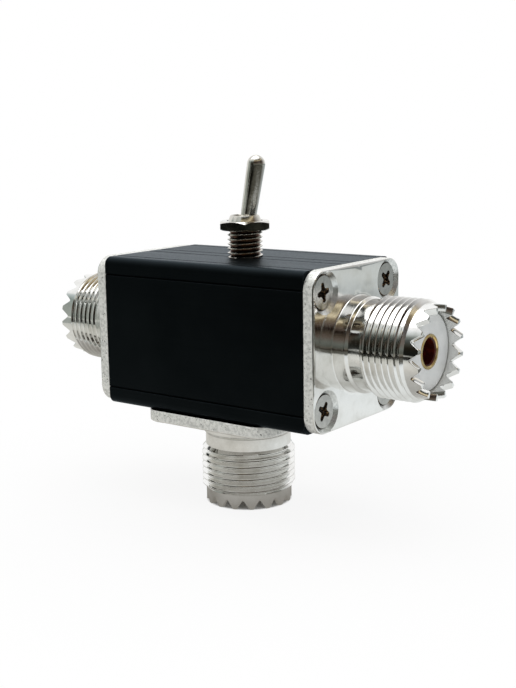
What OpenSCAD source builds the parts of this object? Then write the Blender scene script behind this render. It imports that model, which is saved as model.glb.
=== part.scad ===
// Two-way coaxial antenna switch: an extruded housing, three screw-on coaxial sockets and a toggle.
// Millimetres. The origin is on the surface that the object stands on, on the axis of the bottom
// socket, +X runs along the two side sockets, +Y away from the viewer and +Z up.

/* [Housing] */
// Length of the extruded housing along X
housing_len = 40; // [38:0.5:60]
// Side of the square housing, which the socket flanges match
housing_side = 25; // [24.6:0.2:28]
// Wall of the extrusion
wall_t = 1.6; // [1.2:0.1:2]
// Outer corner radius of the extrusion
housing_corner_r = 1.4; // [0.6:0.1:2]
// Distance from each edge of a face to its fine groove
groove_inset = 2.9; // [2.4:0.1:4]
// Width of a fine groove at the surface
groove_w = 0.4; // [0.2:0.05:0.6]
// Depth of a fine groove
groove_d = 0.22; // [0.1:0.02:0.35]
// Distance between the middle pair of grooves on the top and bottom faces
centre_groove_gap = 3.1; // [2:0.1:7]
// Metal round each corner screw channel
channel_wall = 1.15; // [0.8:0.05:1.4]
// Width of the slit that opens each screw channel to the inside
channel_slit_w = 1.2; // [0.6:0.1:2]
// Height of the board slots in the side walls
board_slot_w = 1.2; // [0.8:0.1:1.8]
// Depth of the board slots
board_slot_d = 0.5; // [0.2:0.05:0.8]
// Height of each board slot above or below the middle of the housing
board_slot_offset = 3.6; // [1.5:0.1:4]

/* [Socket flange] */
// Thickness of the flange
flange_t = 1.9; // [1.8:0.1:2.6]
// Corner radius of the flange
flange_corner_r = 3; // [1.5:0.1:3.6]
// Spacing of the four flange screws
screw_spacing = 18.2; // [18:0.1:18.6]
// Diameter of the countersink at the flange face
countersink_d = 6.5; // [6.1:0.1:6.6]

/* [Socket barrel] */
// Diameter of the boss next to the flange
boss_d = 15.2; // [14.9:0.1:15.6]
// Length of the boss
boss_len = 2.1; // [1.4:0.1:3]
// Diameter of the neck between boss and thread
neck_d = 14.4; // [14:0.1:14.8]
// Length of the neck
neck_len = 2.5; // [1.5:0.1:4]
// Outer diameter of the coupling thread
thread_d = 15.8; // [15.7:0.05:16]
// Length of the coupling thread
thread_len = 7.5; // [6:0.1:10]
// Length by which the bevel at the end of the thread starts early
thread_edge = 0.2; // [0.1:0.05:0.4]
// Diameter of the plain band that carries the teeth
crown_d = 14.5; // [14:0.1:14.8]
// Length of the plain band below the teeth
crown_len = 0.9; // [0.8:0.1:2]
// Height of the locking teeth
tooth_h = 1.5; // [1:0.1:2]
// Number of locking teeth
tooth_count = 16; // [12:1:20]
// Width of the flat at the tip of a tooth
tooth_flat = 0.65; // [0.4:0.05:0.9]
// Turn of the teeth on the left socket
left_crown_turn = 0; // [-11:1:11]
// Turn of the teeth on the right socket
right_crown_turn = 0; // [-11:1:11]
// Turn of the teeth on the bottom socket
bottom_crown_turn = -6; // [-11:1:11]
// Bore of the barrel, which holds the insulator
barrel_bore_d = 12.4; // [11.6:0.1:12.8]
// Diameter of the rear spigot behind the flange
spigot_d = 11.6; // [11:0.1:12.4]
// Length of the rear spigot
spigot_len = 2.6; // [2:0.1:3]
// Bore of the rear spigot
spigot_bore_d = 9.2; // [8:0.1:9.8]

/* [Insulator and contact] */
// Depth of the insulator face below the roots of the teeth
insulator_recess = 0.5; // [0.2:0.05:1.2]
// Length of insulator that stands out behind the spigot
insulator_tail = 1; // [0.5:0.1:1.4]
// Outer diameter of the centre contact
contact_d = 5.3; // [5:0.1:5.8]
// Bore of the centre contact, which takes the plug pin
contact_bore_d = 4; // [3.9:0.05:4.2]
// Depth of the contact bore
contact_bore_len = 11; // [8:0.5:12]
// How far the contact stands out of the insulator face
contact_proud = 0.12; // [0.05:0.01:0.3]
// Bevel at the mouth of the contact bore
contact_bevel = 0.35; // [0.1:0.05:0.5]
// Diameter of the solder cup behind the insulator
cup_d = 3.6; // [3:0.1:4.4]
// Length of the solder cup behind the insulator
cup_len = 3.5; // [3:0.1:3.7]
// Bore of the solder cup
cup_bore_d = 2; // [1.6:0.1:2.4]
// Depth of the solder cup bore
cup_depth = 2.8; // [2.2:0.1:3.2]

/* [Flange screws] */
// Outer diameter of the screw thread
screw_d = 2.9; // [2.7:0.05:3]
// Diameter of the countersunk head
screw_head_d = 5.6; // [5.3:0.1:5.7]
// Length of the side flange screws, head included
side_screw_len = 8; // [6:0.5:12]
// Length of the bottom flange screws, head included
bottom_screw_len = 5; // [4:0.25:5.5]
// Length across the arms of the cross recess
recess_w = 2.9; // [2.2:0.1:3.4]
// Width of one arm of the cross recess
recess_arm = 0.6; // [0.4:0.05:0.9]
// Depth of the cross recess
recess_depth = 0.9; // [0.5:0.05:1.1]
// Turn of each cross recess from that of the screw before it
screw_turn = 50; // [0:5:90]

/* [Toggle bushing] */
// Outer diameter of the bushing thread
bushing_d = 5.8; // [5.7:0.05:6.2]
// Height of the bushing above the housing
bushing_h = 6.8; // [6.2:0.1:8]
// Height of the cone at the top of the bushing
bushing_cone_h = 1.3; // [0.8:0.1:1.4]
// Diameter of the bushing at its top edge
bushing_top_d = 4.7; // [4.6:0.05:5]
// Width of the nut across its flats
nut_af = 8; // [7.4:0.1:9]
// Thickness of the nut
nut_h = 1.5; // [1.2:0.1:2]
// Height of the bevel at the corners of the nut
nut_bevel = 0.35; // [0.1:0.05:0.5]
// Height of the underside of the nut above the housing
nut_rise = 4.4; // [1:0.1:4.6]
// Turn of the nut about its axis
nut_turn = -53; // [-60:1:60]
// Thickness of the toothed lock washer under the wall
washer_t = 0.5; // [0.3:0.05:0.8]
// Outer diameter of the lock washer
washer_d = 9.4; // [8.6:0.1:10]
// Number of teeth of the lock washer
washer_teeth = 12; // [8:1:16]
// Length of a lock washer tooth
washer_tooth_len = 0.8; // [0.5:0.05:1]
// Width of a lock washer tooth
washer_tooth_w = 1.1; // [0.8:0.05:1.3]

/* [Lever] */
// Tilt of the lever from upright, the same to each side
lever_tilt = 11.5; // [9:0.5:11.5]
// Height of the lever's ball centre above the housing
ball_rise = 2.8; // [2.6:0.1:3.1]
// Diameter of the ball
ball_d = 3.8; // [3.6:0.05:3.9]
// Diameter of the lever where it leaves the bushing
lever_neck_d = 2.4; // [2:0.1:2.4]
// Diameter of the lever's round tip
lever_tip_d = 2.96; // [2.5:0.02:3.6]
// Length of the lever from the ball centre to its tip
lever_len = 14; // [10:0.5:18]
// Diameter of the lever below the ball
shank_d = 2.2; // [2:0.05:2.2]
// Length of the lever below the ball centre
shank_len = 7.4; // [6.4:0.1:7.8]
// Bore in the shank for the spring and plunger
shank_bore_d = 1.5; // [1.2:0.05:1.6]
// Wire of the plunger spring
spring_wire_d = 0.26; // [0.2:0.02:0.3]
// Number of turns of the plunger spring
spring_turns = 7; // [4:1:8]

/* [Switch body] */
// Length of the moulded case along X
case_len = 12.2; // [12:0.1:14]
// Width of the moulded case along Y
case_w = 7.9; // [7:0.1:9]
// Height of the moulded case
case_h = 8.7; // [8.4:0.1:9]
// End and side wall of the case
case_wall = 1.1; // [0.8:0.1:1.2]
// Floor of the case
case_floor = 2; // [1.6:0.1:2.2]
// Thickness of the metal frame's top plate
frame_t = 0.8; // [0.6:0.05:1]
// Thickness of the frame's end legs
frame_leg_t = 0.5; // [0.4:0.05:0.8]
// Width of the frame's end legs
frame_leg_w = 5; // [3:0.1:6.5]
// Length of the tabs that are folded under the case
frame_tab = 0.9; // [0.5:0.05:1]

/* [Contacts and terminals] */
// Distance of an outer terminal from the end of the case
terminal_inset = 1.4; // [1.3:0.05:1.6]
// Thickness of a terminal
terminal_t = 0.8; // [0.6:0.05:0.9]
// Width of a terminal
terminal_w = 2; // [1.6:0.1:2.4]
// Share of the height between case and bottom solder cup that the terminals leave free
lug_share = 0.365; // [0.35:0.005:0.45]
// Thickness of the contact pad on an outer terminal
pad_t = 0.4; // [0.3:0.05:0.6]
// Distance from each end of the rocking contact to the end wall of the case
rocker_room = 0.4; // [0.3:0.05:0.6]
// Width of the rocking contact
rocker_w = 3; // [2:0.1:4]
// Thickness of the rocking contact
rocker_t = 0.4; // [0.3:0.05:0.5]
// Tilt of the rocking contact to each side
rocker_tilt = 9; // [7:0.5:9.5]
// Height of the rocking edge above the contact pads
rocker_rise = 1.2; // [1.15:0.05:1.4]
// Slope of the two inner ramps of the rocking contact
ramp_slope = 12; // [10:0.5:13]
// Radius of the contact studs under the rocking contact
stud_r = 0.6; // [0.4:0.05:0.7]

/* [Link wires] */
// Diameter of the tinned copper link wires
wire_d = 0.9; // [0.6:0.05:1.1]
// Radius of the bends in the side link wires
side_bend_r = 2.2; // [1.6:0.1:2.4]
// Radius of the bends in the common link wire
common_bend_r = 0.9; // [0.8:0.05:1]
// Length by which the common link wire runs down beside its terminal
beside_lug = 0.5; // [0.4:0.05:0.7]
// Length of wire that stands out of a terminal's eye, and its gap to the floor of a cup
wire_end = 0.4; // [0.2:0.05:0.6]

/* [Fits] */
// Radial gap between pieces that are pressed or screwed together
seat_gap = 0.02; // [0.01:0.01:0.04]
// Radial gap round screws and the bushing
screw_gap = 0.05; // [0.03:0.01:0.08]
// Radial gap of the ball, plunger and spring
running_gap = 0.05; // [0.03:0.01:0.08]
// Gap left between contacts that touch when the switch is made
touch_gap = 0.06; // [0.04:0.01:0.1]
// Gap under the plunger as it passes over the middle of the rocking contact
plunger_gap = 0.14; // [0.13:0.01:0.2]

/* [Hidden] */
$fn = 64;
// How far a cutting body runs past the faces it cuts through
past = 0.5;
// How far a piece of a union reaches into the next one
bite = 0.3;

// Stations along a socket, measured outwards from the rear face of its flange
boss_end = flange_t + boss_len;
thread_start = boss_end + neck_len;
thread_end = thread_start + thread_len;
tooth_root = thread_end + crown_len;
tooth_tip = tooth_root + tooth_h;
insulator_face = tooth_root - insulator_recess;
contact_face = insulator_face + contact_proud;
cup_end = -spigot_len - insulator_tail - cup_len;

// Heights of the assembly
housing_bottom = tooth_tip;
axis_z = housing_bottom + housing_side / 2;
panel_z = housing_bottom + housing_side;
ceiling_z = panel_z - wall_t;
frame_top = ceiling_z - washer_t;
case_top = frame_top - frame_t;
case_bottom = case_top - case_h;
pad_top = case_bottom + case_floor + pad_t;
rocker_axis_z = pad_top + rocker_rise;
ball_z = panel_z + ball_rise;
cup_top = housing_bottom - cup_end;
lug_end = cup_top + (case_bottom - cup_top) * lug_share;
eye_z = lug_end + beside_lug + common_bend_r;
terminal_pitch = case_len / 2 - terminal_inset;

// Housing
inner_side = housing_side - 2 * wall_t;
channel_r = screw_d / 2 + screw_gap;
spigot_hole_r = spigot_d / 2 + screw_gap;
bushing_hole_r = bushing_d / 2 + screw_gap;

// Screws: a 90 degree head sunk in the countersink of the flange
screw_sink = (countersink_d - screw_head_d) / 2;
head_cone_h = (screw_head_d - screw_d) / 2;
head_top = flange_t - screw_sink;
screw_hole_d = screw_d + 2 * screw_gap;

// Lever: lengths along its own axis from the centre of the ball
bushing_top = bushing_h - ball_rise;
spring_seat = ball_d / 2 + 2 * bite;
plunger_head = shank_len - 3 * bite;
plunger_r = shank_bore_d / 2 - running_gap;
plunger_end = ball_z - rocker_axis_z - rocker_t - plunger_gap;
spring_r = plunger_r - spring_wire_d / 2;

// Rocking contact: its ramps run up to the shoulders, and its ends slope down again
rocker_reach = case_len / 2 - case_wall - rocker_room;
shoulder_x = rocker_reach * 0.565;
shoulder_z = shoulder_x * tan(ramp_slope);
end_z = shoulder_z - rocker_t;
stud_x = terminal_pitch - terminal_t;
stud_drop = (rocker_rise - touch_gap - (stud_x + stud_r) * sin(rocker_tilt)) / cos(rocker_tilt);

eye_r = wire_d / 2 + screw_gap;

module rounded_square(side, r) {
    square([side, side - 2 * r], center = true);
    square([side - 2 * r, side], center = true);
    for (sx = [-1, 1]) {
        for (sy = [-1, 1]) {
            translate([sx, sy] * (side / 2 - r)) circle(r);
        }
    }
}

module at_four_screws() {
    for (sx = [-1, 1]) {
        for (sy = [-1, 1]) {
            translate([sx, sy, 0] * screw_spacing / 2) children();
        }
    }
}

// Each socket is drawn standing on the rear face of its flange, and then put on its wall.
module on_left() { translate([-housing_len / 2, 0, axis_z]) rotate([0, -90, 0]) children(); }
module on_right() { translate([housing_len / 2, 0, axis_z]) rotate([0, 90, 0]) children(); }
module on_bottom() { translate([0, 0, housing_bottom]) rotate([180, 0, 0]) children(); }

// HOUSING: one length of extrusion with a screw channel in each corner.
module groove_at(x) {
    half_w = groove_w / 2;
    translate([x, housing_side / 2]) {
        polygon([[-half_w, past], [-half_w, 0], [0, -groove_d], [half_w, 0], [half_w, past]]);
    }
}

module extrusion_grooves() {
    for (face = [0 : 90 : 270]) {
        rotate(face) for (s = [-1, 1]) groove_at(s * (housing_side / 2 - groove_inset));
    }
    for (face = [0, 180]) {
        rotate(face) for (s = [-1, 1]) groove_at(s * centre_groove_gap / 2);
    }
}

module corner_metal() {
    reach = housing_side / 2 - screw_spacing / 2;
    for (a = [0 : 90 : 270]) {
        rotate(a) translate([1, 1] * screw_spacing / 2) {
            circle(channel_r + channel_wall);
            square(reach);
            translate([-channel_r - channel_wall, 0]) square([reach, reach]);
            translate([0, -channel_r - channel_wall]) square([reach, reach]);
        }
    }
}

module screw_channels() {
    for (a = [0 : 90 : 270]) {
        rotate(a) translate([1, 1] * screw_spacing / 2) {
            circle(channel_r);
            rotate(225) translate([0, -channel_slit_w / 2]) square([channel_r + channel_wall + past, channel_slit_w]);
        }
    }
}

module board_slots() {
    for (sx = [-1, 1]) {
        for (sz = [-1, 1]) {
            translate([sx * (inner_side / 2), sz * board_slot_offset]) square([2 * board_slot_d, board_slot_w], center = true);
        }
    }
}

module extrusion_profile() {
    difference() {
        rounded_square(housing_side, housing_corner_r);
        extrusion_grooves();
        difference() {
            square(inner_side, center = true);
            corner_metal();
        }
        board_slots();
        screw_channels();
    }
}

module housing() {
    color("#1d2023") difference() {
        translate([0, 0, axis_z]) rotate([90, 0, 90]) {
            linear_extrude(housing_len, center = true) extrusion_profile();
        }
        translate([0, 0, ceiling_z - past]) cylinder(h = wall_t + 2 * past, r = bushing_hole_r);
        translate([0, 0, housing_bottom - past]) cylinder(h = wall_t + 2 * past, r = spigot_hole_r);
        translate([0, 0, housing_bottom - past]) at_four_screws() {
            cylinder(h = past + bottom_screw_len - head_top + screw_gap, r = channel_r);
        }
    }
}

// SOCKET SHELL: turned barrel and flange in one piece, with a crown of locking teeth.
module barrel_profile() {
    boss_r = boss_d / 2;
    neck_r = neck_d / 2;
    thread_r = thread_d / 2;
    crown_r = crown_d / 2;
    bore_r = barrel_bore_d / 2;
    base = flange_t - bite;
    thread_top = thread_end - thread_edge;
    polygon([
        [bore_r, base], [bore_r, tooth_tip], [crown_r, tooth_tip],
        [crown_r, thread_top + thread_r - crown_r], [thread_r, thread_top],
        [thread_r, thread_start + thread_r - neck_r], [neck_r, thread_start],
        [neck_r, boss_end + boss_r - neck_r], [boss_r, boss_end], [boss_r, base]
    ]);
}

module tooth_gaps(turn) {
    pitch = PI * crown_d / tooth_count;
    half_gap = (pitch - tooth_flat) / 2;
    // The V runs on above the tips with the same slope.
    cut_h = tooth_h + bite;
    cut_w = half_gap * cut_h / tooth_h;
    for (i = [0 : tooth_count - 1]) {
        rotate(turn + (i + 0.5) * 360 / tooth_count) translate([0, 0, tooth_root]) rotate([90, 0, 90]) {
            linear_extrude(crown_d) polygon([[0, 0], [cut_w, cut_h], [-cut_w, cut_h]]);
        }
    }
}

module socket_shell(turn) {
    sink_h = (countersink_d - screw_hole_d) / 2;
    difference() {
        union() {
            linear_extrude(flange_t) rounded_square(housing_side, flange_corner_r);
            rotate_extrude() barrel_profile();
            translate([0, 0, -spigot_len]) cylinder(h = spigot_len + bite, d = spigot_d);
        }
        translate([0, 0, flange_t]) cylinder(h = tooth_tip, d = barrel_bore_d);
        translate([0, 0, -spigot_len - past]) cylinder(h = spigot_len + flange_t + 2 * past, d = spigot_bore_d);
        at_four_screws() {
            translate([0, 0, -past]) cylinder(h = flange_t + 2 * past, d = screw_hole_d);
            translate([0, 0, flange_t - sink_h]) cylinder(h = sink_h, d1 = screw_hole_d, d2 = countersink_d);
            translate([0, 0, flange_t]) cylinder(h = past, d = countersink_d);
        }
        tooth_gaps(turn);
    }
}

module left_shell() { color("#c9cbc9") on_left() socket_shell(left_crown_turn); }
module right_shell() { color("#c9cbc9") on_right() socket_shell(right_crown_turn); }
module bottom_shell() { color("#c9cbc9") on_bottom() socket_shell(bottom_crown_turn); }

// INSULATOR: a turned plug that fills the barrel and holds the contact on its axis.
module insulator() {
    front_r = barrel_bore_d / 2 - seat_gap;
    rear_r = spigot_bore_d / 2 - seat_gap;
    front_hole_r = contact_d / 2 + seat_gap;
    rear_hole_r = cup_d / 2 + seat_gap;
    step = flange_t + seat_gap;
    rotate_extrude() polygon([
        [rear_hole_r, -spigot_len - insulator_tail], [rear_r, -spigot_len - insulator_tail],
        [rear_r, step], [front_r, step], [front_r, insulator_face],
        [front_hole_r, insulator_face], [front_hole_r, step], [rear_hole_r, step]
    ]);
}

module left_insulator() { color("#e9ebee") on_left() insulator(); }
module right_insulator() { color("#e9ebee") on_right() insulator(); }
module bottom_insulator() { color("#e9ebee") on_bottom() insulator(); }

// CENTRE CONTACT: a socket tube in front and a solder cup, cut open on one side, behind.
module centre_contact() {
    tube_start = flange_t + 2 * seat_gap;
    difference() {
        union() {
            translate([0, 0, tube_start]) cylinder(h = contact_face - tube_start, d = contact_d);
            translate([0, 0, cup_end]) cylinder(h = tube_start + bite - cup_end, d = cup_d);
        }
        translate([0, 0, contact_face - contact_bore_len]) cylinder(h = contact_bore_len + past, d = contact_bore_d);
        translate([0, 0, contact_face - contact_bevel]) {
            cylinder(h = contact_bevel, d1 = contact_bore_d, d2 = contact_bore_d + 2 * contact_bevel);
        }
        translate([0, 0, cup_end - past]) cylinder(h = cup_depth + past, d = cup_bore_d);
        translate([0, 0, cup_end]) rotate([90, 0, 0]) linear_extrude(cup_d + past, center = true) {
            polygon([[0, -past], [cup_d, -past], [cup_d, cup_depth], [cup_d / 2, cup_depth * 0.7]]);
        }
    }
}

module left_contact() { color("#d9b45a") on_left() centre_contact(); }
module right_contact() { color("#d9b45a") on_right() centre_contact(); }
module bottom_contact() { color("#d9b45a") on_bottom() centre_contact(); }

// SCREWS: countersunk, cross recess, four to a flange.
module flange_screw(length, turn) {
    difference() {
        union() {
            translate([0, 0, head_top - length]) cylinder(h = length - head_cone_h + bite, d = screw_d);
            translate([0, 0, head_top - head_cone_h]) cylinder(h = head_cone_h, d1 = screw_d, d2 = screw_head_d);
        }
        for (a = [0, 90]) {
            translate([0, 0, head_top]) rotate(a + turn) cube([recess_w, recess_arm, 2 * recess_depth], center = true);
        }
    }
}

module flange_screws(length) {
    for (i = [0 : 3]) {
        rotate(90 * i) translate([1, 1, 0] * screw_spacing / 2) flange_screw(length, i * screw_turn);
    }
}

module left_screws() { color("#bfc0bc") on_left() flange_screws(side_screw_len); }
module right_screws() { color("#bfc0bc") on_right() flange_screws(side_screw_len); }
module bottom_screws() { color("#bfc0bc") on_bottom() flange_screws(bottom_screw_len); }

// TOGGLE BUSHING: a threaded tube whose bore seats the ball and flares towards both ends.
module bushing() {
    bottom = case_top - ball_z;
    body_r = bushing_d / 2;
    ball_seat_r = ball_d / 2 + running_gap;
    shank_room = shank_d / 2 / cos(lever_tilt) + 2 * running_gap;
    flare_r = shank_room - bottom * tan(lever_tilt);
    flare_start = -(ball_seat_r - shank_room) / tan(lever_tilt);
    throat_r = lever_neck_d / 2 / cos(lever_tilt) + 3 * running_gap;
    color("#b9b7ae") translate([0, 0, ball_z]) difference() {
        rotate_extrude() polygon([
            [0, bottom], [body_r, bottom], [body_r, bushing_top - bushing_cone_h],
            [bushing_top_d / 2, bushing_top], [0, bushing_top]
        ]);
        sphere(r = ball_seat_r);
        translate([0, 0, flare_start]) cylinder(h = -flare_start, r = ball_seat_r);
        translate([0, 0, bottom]) cylinder(h = flare_start - bottom, r1 = flare_r, r2 = ball_seat_r);
        cylinder(h = bushing_top, r1 = throat_r, r2 = throat_r + bushing_top * tan(lever_tilt));
    }
}

module bushing_nut() {
    corner_r = nut_af / 2 / cos(30);
    face_r = nut_af / 2 - 0.1;
    color("#a9a59b") translate([0, 0, panel_z + nut_rise]) rotate(nut_turn) difference() {
        intersection() {
            cylinder(h = nut_h, r = corner_r, $fn = 6);
            rotate_extrude() polygon([
                [0, 0], [face_r, 0], [corner_r, nut_bevel], [corner_r, nut_h - nut_bevel],
                [face_r, nut_h], [0, nut_h]
            ]);
        }
        translate([0, 0, -past]) cylinder(h = nut_h + 2 * past, r = bushing_d / 2 + screw_gap);
    }
}

module lock_washer() {
    ring_r = washer_d / 2 - washer_tooth_len;
    color("#b9b7ae") translate([0, 0, frame_top]) difference() {
        union() {
            cylinder(h = washer_t, r = ring_r);
            for (i = [0 : washer_teeth - 1]) {
                rotate(i * 360 / washer_teeth) translate([ring_r - bite, -washer_tooth_w / 2, 0]) {
                    cube([washer_tooth_len + bite, washer_tooth_w, washer_t]);
                }
            }
        }
        translate([0, 0, -past]) cylinder(h = washer_t + 2 * past, r = bushing_hole_r);
    }
}

// SWITCH FRAME: a steel strap over the case, with its legs folded under the ends.
module switch_frame() {
    outer = case_len / 2 + frame_leg_t;
    color("#b4b6b4") difference() {
        union() {
            translate([-outer, -case_w / 2, case_top]) cube([2 * outer, case_w, frame_t]);
            for (s = [-1, 1]) {
                translate([s * (case_len / 2 + frame_leg_t / 2) - frame_leg_t / 2, -frame_leg_w / 2, case_bottom]) {
                    cube([frame_leg_t, frame_leg_w, case_h + bite]);
                }
                translate([s * (outer - frame_tab / 2) - frame_tab / 2, -frame_leg_w / 2, case_bottom - frame_leg_t]) {
                    cube([frame_tab, frame_leg_w, frame_leg_t]);
                }
            }
        }
        translate([0, 0, case_top - past]) cylinder(h = frame_t + 2 * past, r = bushing_d / 2 + seat_gap);
    }
}

module switch_case() {
    color("#27356b") difference() {
        translate([-case_len / 2, -case_w / 2, case_bottom]) cube([case_len, case_w, case_h]);
        translate([-case_len / 2 + case_wall, -case_w / 2 + case_wall, case_bottom + case_floor]) {
            cube([case_len - 2 * case_wall, case_w - 2 * case_wall, case_h]);
        }
        for (x = [-terminal_pitch, 0, terminal_pitch]) {
            translate([x, 0, case_bottom]) {
                cube([terminal_t + 2 * seat_gap, terminal_w + 2 * seat_gap, 3 * case_floor], center = true);
            }
        }
    }
}

// LEVER: a bat with a round tip above the ball and a bored shank below it.
module tilted(angle) { translate([0, 0, ball_z]) rotate([0, angle, 0]) children(); }

module lever() {
    tip_r = lever_tip_d / 2;
    tip_z = lever_len - tip_r;
    color("#b9b4a6") tilted(lever_tilt) difference() {
        union() {
            sphere(d = ball_d);
            cylinder(h = tip_z, d1 = lever_neck_d, d2 = lever_tip_d);
            translate([0, 0, tip_z]) sphere(r = tip_r);
            translate([0, 0, -shank_len]) cylinder(h = shank_len, d = shank_d);
        }
        translate([0, 0, -shank_len - past]) cylinder(h = shank_len + past - spring_seat, d = shank_bore_d);
    }
}

module plunger() {
    color("#efeee8") tilted(lever_tilt) {
        translate([0, 0, -plunger_end + plunger_r]) cylinder(h = plunger_end - plunger_r - plunger_head, r = plunger_r);
        translate([0, 0, -plunger_end + plunger_r]) sphere(r = plunger_r);
    }
}

// The spring is one unbroken tube, with its ends level so that they seat.
function spring_turn_z(t, low, high) = low + (high - low) * (t < 0.12 ? 0 : t > 0.88 ? 1 : (t - 0.12) / 0.76);

module coil(r, wire_r, low, high, turns) {
    rings = turns * 8;
    sides = 6;
    points = [for (k = [0 : rings]) for (j = [0 : sides - 1])
        let (t = k / rings, a = 360 * turns * t, b = 360 * j / sides, q = r + wire_r * cos(b))
        [q * cos(a), q * sin(a), spring_turn_z(t, low + wire_r, high - wire_r) + wire_r * sin(b)]];
    sides_faces = [for (k = [0 : rings - 1]) for (j = [0 : sides - 1])
        let (n = (j + 1) % sides, p = k * sides)
        each [[p + j, p + sides + j, p + n], [p + n, p + sides + j, p + sides + n]]];
    low_cap = [for (j = [1 : sides - 2]) [0, j, j + 1]];
    high_cap = [for (j = [1 : sides - 2]) rings * sides * [1, 1, 1] + [0, j + 1, j]];
    polyhedron(points, concat(sides_faces, low_cap, high_cap));
}

module plunger_spring() {
    color("#8f8f8a") tilted(lever_tilt) {
        coil(spring_r, spring_wire_d / 2, -plunger_head + seat_gap, -spring_seat - seat_gap, spring_turns);
    }
}

// ROCKING CONTACT: a bent strip on a knife edge, with a stud under each end.
module rocker() {
    spine = [[-rocker_reach, end_z], [-shoulder_x, shoulder_z], [0, 0], [shoulder_x, shoulder_z], [rocker_reach, end_z]];
    upper = [for (i = [0 : 4]) spine[4 - i] + [0, rocker_t]];
    color("#c9b184") translate([0, 0, rocker_axis_z]) rotate([0, -rocker_tilt, 0]) {
        rotate([90, 0, 0]) linear_extrude(rocker_w, center = true) polygon(concat(spine, upper));
        for (s = [-1, 1]) {
            translate([s * stud_x, 0, -stud_drop]) cylinder(h = stud_drop + end_z + bite, r = stud_r);
        }
    }
}

// TERMINALS: flat lugs through the floor of the case, each with an eye for its wire.
module lug() {
    difference() {
        translate([-terminal_t / 2, -terminal_w / 2, lug_end]) {
            cube([terminal_t, terminal_w, case_bottom + case_floor + bite - lug_end]);
        }
        translate([0, 0, eye_z]) rotate([0, 90, 0]) cylinder(h = terminal_t + 2 * past, r = eye_r, center = true);
    }
}

module outer_terminal() {
    pad_inner = stud_x - terminal_pitch - stud_r - bite;
    pad_outer = case_len / 2 - case_wall - terminal_pitch - screw_gap;
    lug();
    translate([pad_inner, -rocker_w / 2, pad_top - pad_t]) cube([pad_outer - pad_inner, rocker_w, pad_t]);
}

module left_terminal() { color("#c8c4b4") translate([-terminal_pitch, 0, 0]) mirror([1, 0, 0]) outer_terminal(); }
module right_terminal() { color("#c8c4b4") translate([terminal_pitch, 0, 0]) outer_terminal(); }

module common_terminal() {
    floor_z = case_bottom + case_floor;
    foot_w = 3 * terminal_t;
    color("#c8c4b4") {
        lug();
        translate([-foot_w / 2, -rocker_w / 2, floor_z]) cube([foot_w, rocker_w, pad_t]);
        translate([-terminal_t / 2, -rocker_w / 2, floor_z]) {
            cube([terminal_t, rocker_w, rocker_axis_z - touch_gap - floor_z]);
        }
    }
}

// LINK WIRES: each is a run of straights and bends, [length, turn, bend radius], from a start point.
module wire_straight(length) {
    rotate([0, 90, 0]) cylinder(h = length, d = wire_d);
}

// A core across each joint, so that the straight and its bend are one piece.
module wire_core() {
    rotate([0, 90, 0]) cylinder(h = 0.2, d = wire_d * 0.7, center = true);
}

module wire_bend(turn, r) {
    translate([0, 0, turn > 0 ? r : -r]) rotate([90, 0, 0]) rotate(turn > 0 ? -90 : 90 + turn) {
        rotate_extrude(angle = abs(turn)) translate([r, 0]) circle(d = wire_d);
    }
}

module wire_run(steps, i = 0) {
    length = steps[i][0];
    turn = steps[i][1];
    r = steps[i][2];
    wire_straight(length);
    if (i > 0) wire_core();
    if (turn != 0) {
        translate([length, 0, 0]) {
            wire_core();
            wire_bend(turn, r);
            translate([r * sin(abs(turn)), 0, sign(turn) * r * (1 - cos(turn))]) rotate([0, -turn, 0]) {
                wire_run(steps, i + 1);
            }
        }
    }
}

module side_link() {
    start = terminal_pitch - terminal_t / 2 - wire_end;
    rise = axis_z - eye_z;
    swing = acos(1 - rise / (2 * side_bend_r));
    bend_start = case_len / 2 + frame_leg_t;
    finish = housing_len / 2 + cup_end + cup_depth - wire_end;
    straight = finish - bend_start - 2 * side_bend_r * sin(swing);
    translate([start, 0, eye_z]) {
        wire_run([[bend_start - start, swing, side_bend_r], [0, -swing, side_bend_r], [straight, 0, 0]]);
    }
}

module left_link_wire() { color("#b8b9b6") mirror([1, 0, 0]) side_link(); }
module right_link_wire() { color("#b8b9b6") side_link(); }

module common_link_wire() {
    start = -terminal_t / 2 - wire_end;
    over = terminal_t / 2 + 3 * screw_gap;
    offset_x = over + common_bend_r;
    swing = acos(1 - offset_x / (2 * common_bend_r));
    drop_top = lug_end - 2 * common_bend_r * sin(swing);
    finish = cup_top - cup_depth + wire_end;
    color("#b8b9b6") translate([start, 0, eye_z]) wire_run([
        [over - start, -90, common_bend_r],
        [beside_lug, -swing, common_bend_r], [0, swing, common_bend_r],
        [drop_top - finish, 0, 0]
    ]);
}

housing();
left_shell();
right_shell();
bottom_shell();
left_insulator();
right_insulator();
bottom_insulator();
left_contact();
right_contact();
bottom_contact();
left_screws();
right_screws();
bottom_screws();
bushing();
bushing_nut();
lock_washer();
switch_frame();
switch_case();
lever();
plunger();
plunger_spring();
rocker();
left_terminal();
common_terminal();
right_terminal();
left_link_wire();
common_link_wire();
right_link_wire();
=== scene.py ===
import math

import bmesh
import bpy
import numpy as np
from mathutils import Matrix, Vector


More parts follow.
